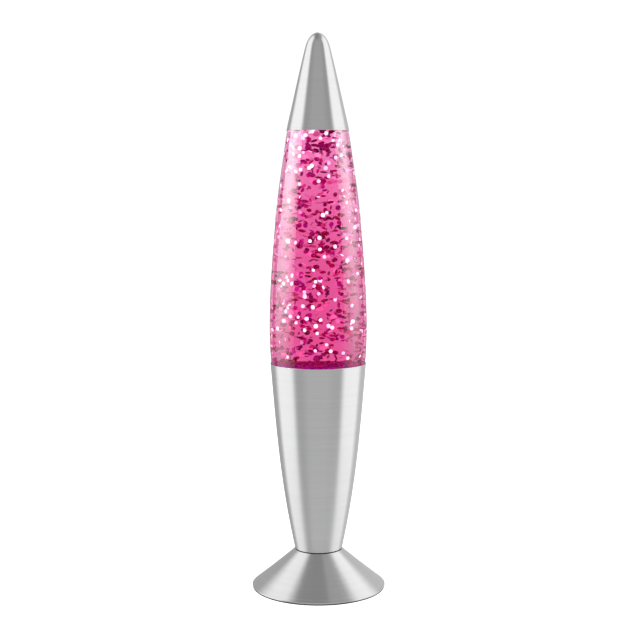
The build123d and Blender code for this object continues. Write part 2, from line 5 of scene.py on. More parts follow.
import bmesh
import bpy
import numpy as np
from mathutils import Euler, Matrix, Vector

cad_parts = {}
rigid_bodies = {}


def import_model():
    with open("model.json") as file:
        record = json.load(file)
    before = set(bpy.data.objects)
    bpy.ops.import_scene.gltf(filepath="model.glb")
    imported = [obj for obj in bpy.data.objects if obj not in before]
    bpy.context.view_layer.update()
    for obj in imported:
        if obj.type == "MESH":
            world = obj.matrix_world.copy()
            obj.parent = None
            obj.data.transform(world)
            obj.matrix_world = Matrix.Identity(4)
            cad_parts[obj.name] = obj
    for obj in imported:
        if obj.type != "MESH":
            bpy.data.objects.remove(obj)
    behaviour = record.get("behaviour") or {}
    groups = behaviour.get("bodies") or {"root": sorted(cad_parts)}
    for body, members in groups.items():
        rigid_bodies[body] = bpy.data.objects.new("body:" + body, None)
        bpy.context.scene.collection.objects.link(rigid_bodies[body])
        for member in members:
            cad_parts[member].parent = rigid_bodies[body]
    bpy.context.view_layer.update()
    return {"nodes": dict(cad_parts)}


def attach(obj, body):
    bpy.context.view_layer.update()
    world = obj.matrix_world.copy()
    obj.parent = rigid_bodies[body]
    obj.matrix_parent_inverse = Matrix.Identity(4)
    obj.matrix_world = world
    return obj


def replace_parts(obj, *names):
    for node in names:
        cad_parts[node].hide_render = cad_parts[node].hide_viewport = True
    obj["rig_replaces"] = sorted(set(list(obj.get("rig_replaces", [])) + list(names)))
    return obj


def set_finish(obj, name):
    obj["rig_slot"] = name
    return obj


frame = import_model()
nodes = frame["nodes"]

# A glitter lamp. Outlines are (radius, height) in millimetres, as in the CAD model;
# every mesh is made in metres, upright on the floor at the origin.
MM = 0.001
SMALL = 1e-4
SHARP_CORNER, SHARP_CORNER_GLASS = 28.0, 60.0
SEGMENTS = 288
TURN = 2 * math.pi

BODY_LINE = [
    (17.7, 29.2), (20.9, 44.9), (24.2, 63.5), (28.4, 93.0), (32.1, 128.7), (35.5, 169.2),
]
GLASS_LINE = [
    (33.8, 159.5), (34.9, 169.2), (36.05, 192.0), (35.2, 225.0), (33.0, 256.5),
    (28.9, 296.0), (25.2, 321.5), (22.3, 339.4), (20.5, 347.0),
]
CAP_LINE = [
    (22.95, 339.4), (20.45, 350.8), (16.4, 368.5), (12.3, 386.3), (9.6, 397.3),
    (7.25, 404.3), (4.0, 408.4), (0.0, 410.0),
]
BODY_WALL, CAP_WALL, GLASS_WALL = 0.4, 0.4, 2.3
TUBE_HOLE, BODY_FLOOR_TOP = 5.1, 30.2
SEAT_Z, PUNT_HEIGHT = 151.2, 2.2
BOTTLE_BASE, BOTTLE_FLOOR, BOTTLE_FLOOR_Z = 26.5, 23.5, 156.4
SETTLED_TOP_Z = 168.6
LIQUID_TOP_Z = 349.0
NECK_OUTER, NECK_INNER, NECK_START_Z, BOTTLE_TOP_Z = 11.6, 9.2, 356.0, 368.0
LIP_Z = BODY_LINE[-1][1]
BULB_FRONT_Z = 105.7


# ---------------------------------------------------------------- camera and studio
CAMERA_DISTANCE = 0.9597
CAMERA_HEIGHT = 0.3035
CAMERA_SIDE = 0.0008
CAMERA_DOWN = math.radians(6.05)
CAMERA_ROLL = math.radians(0.10)
CAMERA_LENS = 73.65
SENSOR_WIDTH = 36.0
CLIP_RANGE = (0.01, 50.0)


def make_camera():
    data = bpy.data.cameras.new("camera")
    data.lens = CAMERA_LENS
    data.sensor_width = SENSOR_WIDTH
    data.clip_start, data.clip_end = CLIP_RANGE
    camera = bpy.data.objects.new("camera", data)
    camera.location = (CAMERA_SIDE, -CAMERA_DISTANCE, CAMERA_HEIGHT)
    camera.rotation_euler = Euler((math.pi / 2 - CAMERA_DOWN, CAMERA_ROLL, 0.0))
    bpy.context.scene.collection.objects.link(camera)
    bpy.context.scene.camera = camera


# ---------------------------------------------------------------- node helpers
class Tree:
    """Short-hand for building a node tree."""

    def __init__(self, tree):
        self.tree = tree
        self.tree.nodes.clear()

    def add(self, kind, **settings):
        node = self.tree.nodes.new(kind)
        for name, value in settings.items():
            setattr(node, name, value)
        return node

    def link(self, source, target):
        self.tree.links.new(source, target)

    def maths(self, operation, first, second=0.0):
        node = self.add("ShaderNodeMath", operation=operation)
        for socket, value in zip(node.inputs, (first, second)):
            if isinstance(value, (int, float)):
                socket.default_value = value
            else:
                self.link(value, socket)
        return node.outputs[0]

    def step(self, value, low, high, out_low=0.0, out_high=1.0):
        """A soft step from out_low to out_high as value goes from low to high."""
        node = self.add("ShaderNodeMapRange", interpolation_type="SMOOTHSTEP")
        self.link(value, node.inputs["Value"])
        for name, number in (
            ("From Min", low), ("From Max", high), ("To Min", out_low), ("To Max", out_high),
        ):
            node.inputs[name].default_value = number
        return node.outputs["Result"]

    def mix(self, share, first, second):
        """Blend of two numbers by a share."""
        node = self.add("ShaderNodeMix", data_type="FLOAT")
        sockets = (node.inputs[0], node.inputs[2], node.inputs[3])
        for socket, value in zip(sockets, (share, first, second)):
            if isinstance(value, (int, float)):
                socket.default_value = value
            else:
                self.link(value, socket)
        return node.outputs[0]


def new_material(name):
    material = bpy.data.materials.new(name)
    material.use_nodes = True
    tree = Tree(material.node_tree)
    output = tree.add("ShaderNodeOutputMaterial")
    return material, tree, output


# ---------------------------------------------------------------- studio
# Directions are in degrees: turn goes round from the camera's side, positive to the right,
# away is turn without its sign, and rise goes up from the horizon.
# Each ramp is (from, to, value before, value after), or (from, to) for 0 to 1.
RIGHT_HALF = (-10, 10)
FRONT_MIDDLE_GREY, FRONT_SIDE_GREY = 0.475, 0.40
FRONT_SPREAD = (20, 50)
FRONT_FADE_UP = (0, 35, 1.0, 0.86)
FRONT_GAIN_DOWN = (-38, -12, 1.1, 1.01)
FRONT_LIFT_HEIGHT = (-26, -12, 0.075, 0.0)
FRONT_LIFT_WIDTH = (26, 48)
BACK_LEFT_GREY, BACK_RIGHT_GREY = 0.42, 0.57
FRONT_TO_BACK = (110, 135)
OVERHEAD_GREY = (0.14, 0.2, 0.27, 0.37)
CEILING_START = (45, 72)
BOX_LOW = (-38, -12, 1.0, 0.0)
BOX_INNER_EDGE, BOX_INNER_EDGE_LOW = (55, 72), (45, 90)
BOX_OUTER_EDGE = (112, 136, 1.0, 0.0)
BOX_LEAN, BOX_LEAN_RIGHT = (5, 30, 0.0, 8.0), (25, 45, 0.0, 6.0)
BOX_TOP, BOX_TOP_DROP_RIGHT = (58, 70, 1.0, 0.0), 6.0
BOX_GLOW, BOX_GLOW_TOP_LOSS, BOX_GLOW_LOW_LOSS = (0, 25, 1.06, 1.1), (35, 55, 0.0, 0.12), 0.19
WALL_GLOW = 1.14
WALL_FLAG, WALL_FLAG_END = (138, 145), (155, 167, 0.38, 0.0)
WALL_NOTCH, WALL_NOTCH_END = (133.6, 135.0), (136.8, 138.2, 0.62, 0.0)
WALL_BRIGHT, WALL_BRIGHT_END = (122, 127), (132, 134, 0.24, 0.0)
GLASS_MIRRORS = (115, 140, 0.03, 0.5)
PLAIN_WHITE = 1.05
FLOOR_REACH = 9.0
FLOOR_GREY = 0.93
WHITE = (1, 1, 1, 1)


def world_directions(tree):
    """Sideways share, turn, away and rise of the direction that a ray leaves in."""
    place = tree.add("ShaderNodeTexCoord")
    split = tree.add("ShaderNodeSeparateXYZ")
    tree.link(place.outputs["Generated"], split.inputs[0])
    toward = tree.maths("MULTIPLY", split.outputs["Y"], -1.0)
    turn = tree.maths("DEGREES", tree.maths("ARCTAN2", split.outputs["X"], toward))
    away = tree.maths("ABSOLUTE", turn)
    rise = tree.maths("DEGREES", tree.maths("ARCSINE", split.outputs["Z"]))
    return split.outputs["X"], turn, away, rise


def grey_room(tree, across, right, away, rise):
    """The room round the lamp: grey, a little brighter in front and darkest overhead."""
    front = tree.mix(tree.step(away, *FRONT_SPREAD), FRONT_MIDDLE_GREY, FRONT_SIDE_GREY)
    front = tree.maths("MULTIPLY", front, tree.step(rise, *FRONT_FADE_UP))
    front = tree.maths("MULTIPLY", front, tree.step(rise, *FRONT_GAIN_DOWN))
    lift_height = tree.step(rise, *FRONT_LIFT_HEIGHT)
    lift = tree.maths("MULTIPLY", lift_height, tree.step(away, *FRONT_LIFT_WIDTH))
    front = tree.maths("ADD", front, tree.maths("MULTIPLY", lift, right))
    back = tree.mix(right, BACK_LEFT_GREY, BACK_RIGHT_GREY)
    room = tree.mix(tree.step(away, *FRONT_TO_BACK), front, back)
    overhead = tree.step(across, *OVERHEAD_GREY)
    return tree.mix(tree.step(rise, *CEILING_START), room, overhead)


def white_boxes(tree, room, right, away, rise):
    """The room with a tall white box at each side, which leans back towards its top."""
    lean_right = tree.maths("MULTIPLY", right, tree.step(rise, *BOX_LEAN_RIGHT))
    lean = tree.maths("ADD", tree.step(rise, *BOX_LEAN), lean_right)
    low = tree.step(rise, *BOX_LOW)
    inner = tree.step(away, *BOX_INNER_EDGE)
    inner = tree.mix(low, inner, tree.step(away, *BOX_INNER_EDGE_LOW))
    outer = tree.step(tree.maths("SUBTRACT", away, lean), *BOX_OUTER_EDGE)
    top = tree.maths("ADD", rise, tree.maths("MULTIPLY", right, BOX_TOP_DROP_RIGHT))
    top = tree.step(top, *BOX_TOP)
    box = tree.maths("MULTIPLY", tree.maths("MULTIPLY", inner, outer), top)
    low_loss = tree.maths("MULTIPLY", low, BOX_GLOW_LOW_LOSS)
    glow = tree.maths("SUBTRACT", tree.step(rise, *BOX_GLOW), low_loss)
    glow = tree.maths("SUBTRACT", glow, tree.step(rise, *BOX_GLOW_TOP_LOSS))
    return tree.mix(box, room, glow)


def wall_behind_glass(tree, away):
    """What is seen through the glass: a white wall whose bands make the bottle's dark rim."""
    flag = tree.maths("MULTIPLY", tree.step(away, *WALL_FLAG), tree.step(away, *WALL_FLAG_END))
    notch = tree.step(away, *WALL_NOTCH)
    notch = tree.maths("MULTIPLY", notch, tree.step(away, *WALL_NOTCH_END))
    bright = tree.step(away, *WALL_BRIGHT)
    bright = tree.maths("MULTIPLY", bright, tree.step(away, *WALL_BRIGHT_END))
    loss = tree.maths("SUBTRACT", tree.maths("ADD", flag, notch), bright)
    return tree.maths("SUBTRACT", WALL_GLOW, loss)


def make_world():
    """Rays that pass through the glass see a white wall, rays that mirror off it see a dim
    room, and the rest see the room with its white boxes. The camera sees plain white."""
    world = bpy.data.worlds.new("studio")
    bpy.context.scene.world = world
    world.use_nodes = True
    tree = Tree(world.node_tree)
    output = tree.add("ShaderNodeOutputWorld")
    across, turn, away, rise = world_directions(tree)
    right = tree.step(turn, *RIGHT_HALF)
    room = grey_room(tree, across, right, away, rise)
    with_boxes = white_boxes(tree, room, right, away, rise)
    path = tree.add("ShaderNodeLightPath")
    through = path.outputs["Is Transmission Ray"]
    mirror = tree.maths("SUBTRACT", path.outputs["Is Singular Ray"], through)
    mirror = tree.maths("MAXIMUM", mirror, 0.0)
    mirrored = tree.mix(mirror, with_boxes, tree.step(away, *GLASS_MIRRORS))
    seen = tree.mix(through, mirrored, wall_behind_glass(tree, away))

    studio = tree.add("ShaderNodeBackground")
    studio.inputs["Color"].default_value = WHITE
    tree.link(seen, studio.inputs["Strength"])
    plain = tree.add("ShaderNodeBackground")
    plain.inputs["Color"].default_value = WHITE
    plain.inputs["Strength"].default_value = PLAIN_WHITE
    choose = tree.add("ShaderNodeMixShader")
    tree.link(path.outputs["Is Camera Ray"], choose.inputs[0])
    tree.link(studio.outputs[0], choose.inputs[1])
    tree.link(plain.outputs[0], choose.inputs[2])
    tree.link(choose.outputs[0], output.inputs["Surface"])


def make_floor():
    mesh = bpy.data.meshes.new("floor")
    reach = FLOOR_REACH
    corners = [(-reach, -reach, 0), (reach, -reach, 0), (reach, reach, 0), (-reach, reach, 0)]
    mesh.from_pydata(corners, [], [(0, 1, 2, 3)])
    floor = bpy.data.objects.new("floor", mesh)
    bpy.context.scene.collection.objects.link(floor)
    material, tree, output = new_material("pale_floor")
    shader = tree.add("ShaderNodeBsdfPrincipled")
    shader.inputs["Base Color"].default_value = (FLOOR_GREY, FLOOR_GREY, FLOOR_GREY, 1)
    shader.inputs["Roughness"].default_value = 0.9
    shader.inputs["Specular IOR Level"].default_value = 0.0
    shader.inputs["Emission Color"].default_value = WHITE
    shader.inputs["Emission Strength"].default_value = 1.0
    tree.link(shader.outputs[0], output.inputs["Surface"])
    mesh.materials.append(material)
    floor.visible_diffuse = False
    floor.visible_glossy = False
    floor.visible_transmission = False


# ---------------------------------------------------------------- lamp boxes for the glass
SOFTBOX_REACH = 1.6
SOFTBOX_BOTTOM, SOFTBOX_TOP = -0.4, 1.2
SOFTBOX_UPWARD = (0.0, 0.8, 0.1, 0.66)
SOFTBOX_MIDDLE = 0.48
# name: (azimuth in degrees, width in metres, watts, strength at the front edge, at the back)
SOFTBOXES = {
    "box_left": (-90, 1.9, 160, 0.36, 0.5),
    "box_right": (94.5, 2.0, 125, 0.4, 0.12),
}


def area_light(name, location, target, size, size_y, power, receivers):
    data = bpy.data.lights.new(name, "AREA")
    data.shape = "RECTANGLE"
    data.size, data.size_y = size, size_y
    data.energy = power
    light = bpy.data.objects.new(name, data)
    light.location = location
    aim = Vector(target) - Vector(location)
    light.rotation_euler = aim.to_track_quat("-Z", "Y").to_euler()
    bpy.context.scene.collection.objects.link(light)
    light.visible_camera = False
    light.visible_transmission = False
    light.light_linking.receiver_collection = receivers
    return light


def softbox(name, azimuth, width, power, near_edge, far_edge, receivers):
    """A tall lamp box that only its receivers see, facing the lamp's axis and brighter
    upwards. The edges are its strength at its front and back ends."""
    turn = math.radians(azimuth)
    middle = (SOFTBOX_BOTTOM + SOFTBOX_TOP) / 2
    place = Vector((math.sin(turn) * SOFTBOX_REACH, -math.cos(turn) * SOFTBOX_REACH, middle))
    height = SOFTBOX_TOP - SOFTBOX_BOTTOM
    light = area_light(name, place, (0, 0, middle), width, height, power, receivers)
    light.data.use_nodes = True
    tree = Tree(light.data.node_tree)
    output = tree.add("ShaderNodeOutputLight")
    emit = tree.add("ShaderNodeEmission")
    face = tree.add("ShaderNodeNewGeometry")
    split = tree.add("ShaderNodeSeparateXYZ")
    tree.link(face.outputs["Parametric"], split.inputs[0])
    ahead = split.outputs["X"]
    if azimuth < 0:
        ahead = tree.maths("SUBTRACT", 1.0, ahead)
    near = tree.step(ahead, 0.0, SOFTBOX_MIDDLE, near_edge, 1.0)
    far = tree.step(ahead, SOFTBOX_MIDDLE, 1.0, 1.0, far_edge)
    across = tree.maths("MULTIPLY", near, far)
    upward = tree.step(split.outputs["Y"], *SOFTBOX_UPWARD)
    tree.link(tree.maths("MULTIPLY", upward, across), emit.inputs["Strength"])
    tree.link(emit.outputs[0], output.inputs["Surface"])


# ---------------------------------------------------------------- outlines
def spline(points, steps=12, start=None, end=None):
    """A smooth curve through points; start and end are its directions there, if given."""
    p = np.array(points, float)
    h = np.linalg.norm(np.diff(p, axis=0), axis=1)
    count = len(p)
    a, b = np.zeros((count, count)), np.zeros((count, 2))
    a[0, 0] = a[-1, -1] = 1.0
    if start is not None:
        a[0, :2] = 2 * h[0], h[0]
        b[0] = 6 * ((p[1] - p[0]) / h[0] - np.array(start) / np.linalg.norm(start))
    if end is not None:
        a[-1, -2:] = h[-1], 2 * h[-1]
        b[-1] = 6 * (np.array(end) / np.linalg.norm(end) - (p[-1] - p[-2]) / h[-1])
    for i in range(1, count - 1):
        a[i, i - 1 : i + 2] = h[i - 1], 2 * (h[i - 1] + h[i]), h[i]
        b[i] = 6 * ((p[i + 1] - p[i]) / h[i] - (p[i] - p[i - 1]) / h[i - 1])
    bend = np.linalg.solve(a, b)
    line = []
    for i in range(count - 1):
        last = i == count - 2
        for t in np.linspace(0, h[i], steps + 1)[: steps + 1 if last else steps]:
            back = h[i] - t
            line.append(
                (bend[i] * back**3 + bend[i + 1] * t**3) / (6 * h[i])
                + (p[i] / h[i] - bend[i] * h[i] / 6) * back
                + (p[i + 1] / h[i] - bend[i + 1] * h[i] / 6) * t
            )
    return [tuple(q) for q in line]


def bezier(a, b, c, d, steps=14):
    a, b, c, d = (np.array(q, float) for q in (a, b, c, d))
    return [
        tuple((1 - t) ** 3 * a + 3 * (1 - t) ** 2 * t * b + 3 * (1 - t) * t**2 * c + t**3 * d)
        for t in np.linspace(0, 1, steps + 1)
    ]


def arc(centre, radius, start, end, steps=8):
    """Points round part of a circle, angles in degrees."""
    return [
        (centre[0] + radius * math.cos(math.radians(t)), centre[1] + radius * math.sin(math.radians(t)))
        for t in np.linspace(start, end, steps + 1)
    ]


def moved_in(line, amount):
    return [(r - amount, z) for r, z in line]


# ---------------------------------------------------------------- meshes
def new_piece(name, mesh, body, slot, *replaced):
    piece = bpy.data.objects.new(name, mesh)
    bpy.context.scene.collection.objects.link(piece)
    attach(piece, body)
    if replaced:
        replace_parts(piece, *replaced)
    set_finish(piece, slot)
    return piece


def lathe(name, outline, segments=SEGMENTS, sharp=SHARP_CORNER):
    """A closed outline turned about the lamp's axis. Corners over sharp degrees stay crisp."""
    points = [outline[0]]
    for q in outline[1:]:
        if math.dist(q, points[-1]) > SMALL:
            points.append(q)
    if math.dist(points[0], points[-1]) < SMALL:
        points.pop()
    count = len(points)
    made = bmesh.new()
    rings = []
    for r, z in points:
        if r < SMALL:
            rings.append([made.verts.new((0, 0, z * MM))])
        else:
            rings.append([
                made.verts.new((r * MM * math.cos(t), r * MM * math.sin(t), z * MM))
                for t in np.linspace(0, TURN, segments, endpoint=False)
            ])
    for i in range(count):
        low, high = rings[i], rings[(i + 1) % count]
        for k in range(segments):
            n = (k + 1) % segments
            if len(low) > 1 and len(high) > 1:
                made.faces.new((low[k], low[n], high[n], high[k]))
            elif len(low) > 1:
                made.faces.new((low[k], low[n], high[0]))
            elif len(high) > 1:
                made.faces.new((low[0], high[n], high[k]))
    for i in range(count):
        before, here, after = (np.array(points[(i + k) % count]) for k in (-1, 0, 1))
        one, two = here - before, after - here
        cosine = one @ two / (np.linalg.norm(one) * np.linalg.norm(two))
        if math.degrees(math.acos(max(-1.0, min(1.0, cosine)))) > sharp and len(rings[i]) > 1:
            ring = rings[i]
            for k in range(segments):
                edge = made.edges.get((ring[k], ring[(k + 1) % segments]))
                if edge:
                    edge.smooth = False
    bmesh.ops.recalc_face_normals(made, faces=made.faces)
    for face in made.faces:
        face.smooth = True
    mesh = bpy.data.meshes.new(name)
    made.to_mesh(mesh)
    made.free()
    return mesh


def flake_mesh(name, flakes):
    """Thin flat discs with even sides. flakes holds (centre, radius, matrix), in millimetres."""
    sides = FLAKE_SIDES
    verts, faces = [], []
    for centre, radius, turn in flakes:
        first = len(verts)
        for side in (-0.5, 0.5):
            for k in range(sides):
                t = TURN * k / sides
                flat = (radius * math.cos(t), radius * math.sin(t), side * FLAKE_THICKNESS)
                verts.append((centre + turn @ Vector(flat)) * MM)
        low = list(range(first, first + sides))
        high = list(range(first + sides, first + 2 * sides))
        faces.append(low[::-1])
        faces.append(high)
        for k in range(sides):
            n = (k + 1) % sides
            faces.append((low[k], low[n], high[n], high[k]))
    mesh = bpy.data.meshes.new(name)
    mesh.from_pydata([tuple(v) for v in verts], [], faces)
    mesh.update()
    return mesh


# ---------------------------------------------------------------- metals and plastics
LINE_SCALE, BROAD_LINE_SCALE = 1300.0, 162.5
LINE_DRIFT = 0.004
LINE_DETAIL, BROAD_LINE_DETAIL, LINE_NOISE_ROUGHNESS = 3.0, 2.0, 0.6
LINE_WEIGHT, BROAD_LINE_WEIGHT = 0.6, 0.5
LINE_GLOSS_RANGE, GRAIN_COLOUR_RANGE, GRAIN_GLOSS_RANGE = (0.3, 0.7), (0.3, 0.7), (0.35, 0.65)
UP_THE_SLOPE = 0.25
LINE_HEIGHT = 0.00002
LINE_DARKNESS = (0.79, 0.79, 0.795)
GRAIN_HEIGHT = 0.00005
WAVE_SCALE, WAVE_STRENGTH, WAVE_HEIGHT = 45.0, 0.02, 0.0008
INNER_SHINE = 0.05
BED_CELL_SCALE = 550.0
BED_DARK, BED_LIGHT = (0.3, 0.001, 0.32, 1), (0.8, 0.006, 0.7, 1)
BULB_GRAIN_SCALE, BULB_FRONT_BLEND = 1200.0, 1.5
BULB_DARK, BULB_LIGHT = (0.8, 0.8, 0.79, 1), (0.86, 0.86, 0.84, 1)
SILVER_ROUGHNESS, FROST_ROUGHNESS = 0.12, (0.5, 0.62)
LIQUID_TINT = (0.885, 0.04, 0.52, 1)
LIQUID_DENSITY = 40.0
GLASS_IOR, LIQUID_IOR = 1.5, 1.33


def circumference_noise(tree, scale, detail):
    """Noise that changes with height and slope but hardly round the axis, as turning marks do."""
    place = tree.add("ShaderNodeTexCoord")
    split = tree.add("ShaderNodeSeparateXYZ")
    tree.link(place.outputs["Object"], split.inputs[0])
    squares = [tree.maths("POWER", split.outputs[axis], 2.0) for axis in ("X", "Y")]
    reach = tree.maths("POWER", tree.maths("ADD", *squares), 0.5)
    join = tree.add("ShaderNodeCombineXYZ")
    tree.link(tree.maths("MULTIPLY", split.outputs["X"], LINE_DRIFT), join.inputs[0])
    tree.link(tree.maths("MULTIPLY", split.outputs["Y"], LINE_DRIFT), join.inputs[1])
    tree.link(tree.maths("SUBTRACT", split.outputs["Z"], reach), join.inputs[2])
    noise = tree.add("ShaderNodeTexNoise")
    tree.link(join.outputs[0], noise.inputs["Vector"])
    noise.inputs["Scale"].default_value = scale
    noise.inputs["Detail"].default_value = detail
    noise.inputs["Roughness"].default_value = LINE_NOISE_ROUGHNESS
    return noise.outputs["Fac"]


def spun_metal(name, grey, low_rough, high_rough, anisotropy, line_depth):
    """Bare spun aluminium: turning lines round the axis stretch each highlight up and down."""
    material, tree, output = new_material(name)
    shader = tree.add("ShaderNodeBsdfPrincipled")
    shader.inputs["Metallic"].default_value = 1.0
    shader.inputs["Anisotropic"].default_value = anisotropy
    shader.inputs["Anisotropic Rotation"].default_value = UP_THE_SLOPE
    tangent = tree.add("ShaderNodeTangent", direction_type="RADIAL", axis="Z")
    tree.link(tangent.outputs[0], shader.inputs["Tangent"])

    fine = circumference_noise(tree, LINE_SCALE, LINE_DETAIL)
    broad = circumference_noise(tree, BROAD_LINE_SCALE, BROAD_LINE_DETAIL)
    colour = tree.add("ShaderNodeMix", data_type="RGBA")
    colour.inputs["A"].default_value = (*(grey * share for share in LINE_DARKNESS), 1)
    colour.inputs["B"].default_value = (grey, grey, grey, 1)
    fine_share = tree.maths("MULTIPLY", fine, LINE_WEIGHT)
    broad_share = tree.maths("MULTIPLY", broad, BROAD_LINE_WEIGHT)
    both = tree.maths("ADD", fine_share, broad_share)
    tree.link(both, colour.inputs["Factor"])
    tree.link(colour.outputs["Result"], shader.inputs["Base Color"])
    gloss = tree.step(fine, *LINE_GLOSS_RANGE, low_rough, high_rough)
    tree.link(gloss, shader.inputs["Roughness"])

    bump = tree.add("ShaderNodeBump")
    bump.inputs["Strength"].default_value = line_depth
    bump.inputs["Distance"].default_value = LINE_HEIGHT
    tree.link(fine, bump.inputs["Height"])
    tree.link(bump.outputs[0], shader.inputs["Normal"])
    tree.link(shader.outputs[0], output.inputs["Surface"])
    return material


def grained(name, dark, light, rough, metallic=0.0, scale=900.0, bump_depth=0.15):
    """A solid colour with fine grain in colour, gloss and relief."""
    material, tree, output = new_material(name)
    shader = tree.add("ShaderNodeBsdfPrincipled")
    shader.inputs["Metallic"].default_value = metallic
    place = tree.add("ShaderNodeTexCoord")
    noise = tree.add("ShaderNodeTexNoise")
    tree.link(place.outputs["Object"], noise.inputs["Vector"])
    noise.inputs["Scale"].default_value = scale
    noise.inputs["Detail"].default_value = 4.0
    colour = tree.add("ShaderNodeMix", data_type="RGBA")
    colour.inputs["A"].default_value = (*dark, 1)
    colour.inputs["B"].default_value = (*light, 1)
    share = tree.step(noise.outputs["Fac"], *GRAIN_COLOUR_RANGE)
    tree.link(share, colour.inputs["Factor"])
    tree.link(colour.outputs["Result"], shader.inputs["Base Color"])
    gloss = tree.step(noise.outputs["Fac"], *GRAIN_GLOSS_RANGE, *rough)
    tree.link(gloss, shader.inputs["Roughness"])
    bump = tree.add("ShaderNodeBump")
    bump.inputs["Strength"].default_value = bump_depth
    bump.inputs["Distance"].default_value = GRAIN_HEIGHT
    tree.link(noise.outputs["Fac"], bump.inputs["Height"])
    tree.link(bump.outputs[0], shader.inputs["Normal"])
    tree.link(shader.outputs[0], output.inputs["Surface"])
    return material


def foam(name, dark, light, cell_size):
    """Closed-cell foam: small rounded cells in relief."""
    material, tree, output = new_material(name)
    shader = tree.add("ShaderNodeBsdfPrincipled")
    shader.inputs["Roughness"].default_value = 0.9
    place = tree.add("ShaderNodeTexCoord")
    cells = tree.add("ShaderNodeTexVoronoi", feature="SMOOTH_F1")
    tree.link(place.outputs["Object"], cells.inputs["Vector"])
    cells.inputs["Scale"].default_value = 1.0 / cell_size
    colour = tree.add("ShaderNodeMix", data_type="RGBA")
    colour.inputs["A"].default_value = (*light, 1)
    colour.inputs["B"].default_value = (*dark, 1)
    tree.link(tree.step(cells.outputs["Distance"], 0.2, 0.8), colour.inputs["Factor"])
    tree.link(colour.outputs["Result"], shader.inputs["Base Color"])
    bump = tree.add("ShaderNodeBump", invert=True)
    bump.inputs["Strength"].default_value = 0.5
    bump.inputs["Distance"].default_value = cell_size / 4
    tree.link(cells.outputs["Distance"], bump.inputs["Height"])
    tree.link(bump.outputs[0], shader.inputs["Normal"])
    tree.link(shader.outputs[0], output.inputs["Surface"])
    return material


def lamps_pass(tree, shader, output):
    """Lets the studio's lamps reach what is inside the glass."""
    path = tree.add("ShaderNodeLightPath")
    clear = tree.add("ShaderNodeBsdfTransparent")
    mix = tree.add("ShaderNodeMixShader")
    tree.link(path.outputs["Is Shadow Ray"], mix.inputs[0])
    tree.link(shader.outputs[0], mix.inputs[1])
    tree.link(clear.outputs[0], mix.inputs[2])
    tree.link(mix.outputs[0], output.inputs["Surface"])


def glass_shader(tree, ior, outer_shine, inner_shine):
    """Smooth clear glass or liquid. The shines scale how strongly a surface mirrors when it
    is met from outside and from inside: glass mirrors little where it meets a liquid."""
    shader = tree.add("ShaderNodeBsdfPrincipled")
    shader.inputs["Base Color"].default_value = (1.0, 1.0, 1.0, 1)
    shader.inputs["Transmission Weight"].default_value = 1.0
    shader.inputs["Roughness"].default_value = 0.0
    shader.inputs["IOR"].default_value = ior
    face = tree.add("ShaderNodeNewGeometry")
    shine = tree.mix(face.outputs["Backfacing"], outer_shine, inner_shine)
    tree.link(shine, shader.inputs["Specular Tint"])
    return shader


def clear_glass():
    """Drawn soda glass with the faintest waviness."""
    material, tree, output = new_material("clear_glass")
    shader = glass_shader(tree, GLASS_IOR, 1.0, INNER_SHINE)
    place = tree.add("ShaderNodeTexCoord")
    noise = tree.add("ShaderNodeTexNoise")
    tree.link(place.outputs["Object"], noise.inputs["Vector"])
    noise.inputs["Scale"].default_value = WAVE_SCALE
    noise.inputs["Detail"].default_value = 1.0
    bump = tree.add("ShaderNodeBump")
    bump.inputs["Strength"].default_value = WAVE_STRENGTH
    bump.inputs["Distance"].default_value = WAVE_HEIGHT
    tree.link(noise.outputs["Fac"], bump.inputs["Height"])
    tree.link(bump.outputs[0], shader.inputs["Normal"])
    lamps_pass(tree, shader, output)
    return material


def reflector_bulb():
    """Glass silvered behind its widest place and frosted in front of it."""
    material, tree, output = new_material("bulb_glass")
    shader = tree.add("ShaderNodeBsdfPrincipled")
    place = tree.add("ShaderNodeTexCoord")
    split = tree.add("ShaderNodeSeparateXYZ")
    tree.link(place.outputs["Object"], split.inputs[0])
    front = BULB_FRONT_Z * MM
    frosted = tree.step(split.outputs["Z"], front, front + BULB_FRONT_BLEND * MM)
    noise = tree.add("ShaderNodeTexNoise")
    tree.link(place.outputs["Object"], noise.inputs["Vector"])
    noise.inputs["Scale"].default_value = BULB_GRAIN_SCALE
    colour = tree.add("ShaderNodeMix", data_type="RGBA")
    colour.inputs["A"].default_value = BULB_DARK
    colour.inputs["B"].default_value = BULB_LIGHT
    tree.link(noise.outputs["Fac"], colour.inputs["Factor"])
    tree.link(colour.outputs["Result"], shader.inputs["Base Color"])
    tree.link(tree.maths("SUBTRACT", 1.0, frosted), shader.inputs["Metallic"])
    grain = tree.step(noise.outputs["Fac"], *GRAIN_GLOSS_RANGE, *FROST_ROUGHNESS)
    tree.link(tree.mix(frosted, SILVER_ROUGHNESS, grain), shader.inputs["Roughness"])
    tree.link(shader.outputs[0], output.inputs["Surface"])
    return material


def pink_liquid():
    """Clear dyed liquid: all its colour is in the depth it is seen through."""
    material, tree, output = new_material("pink_liquid")
    shader = glass_shader(tree, LIQUID_IOR, 0.0, 0.0)
    lamps_pass(tree, shader, output)
    dye = tree.add("ShaderNodeVolumeAbsorption")
    dye.inputs["Color"].default_value = LIQUID_TINT
    dye.inputs["Density"].default_value = LIQUID_DENSITY
    tree.link(dye.outputs[0], output.inputs["Volume"])
    return material


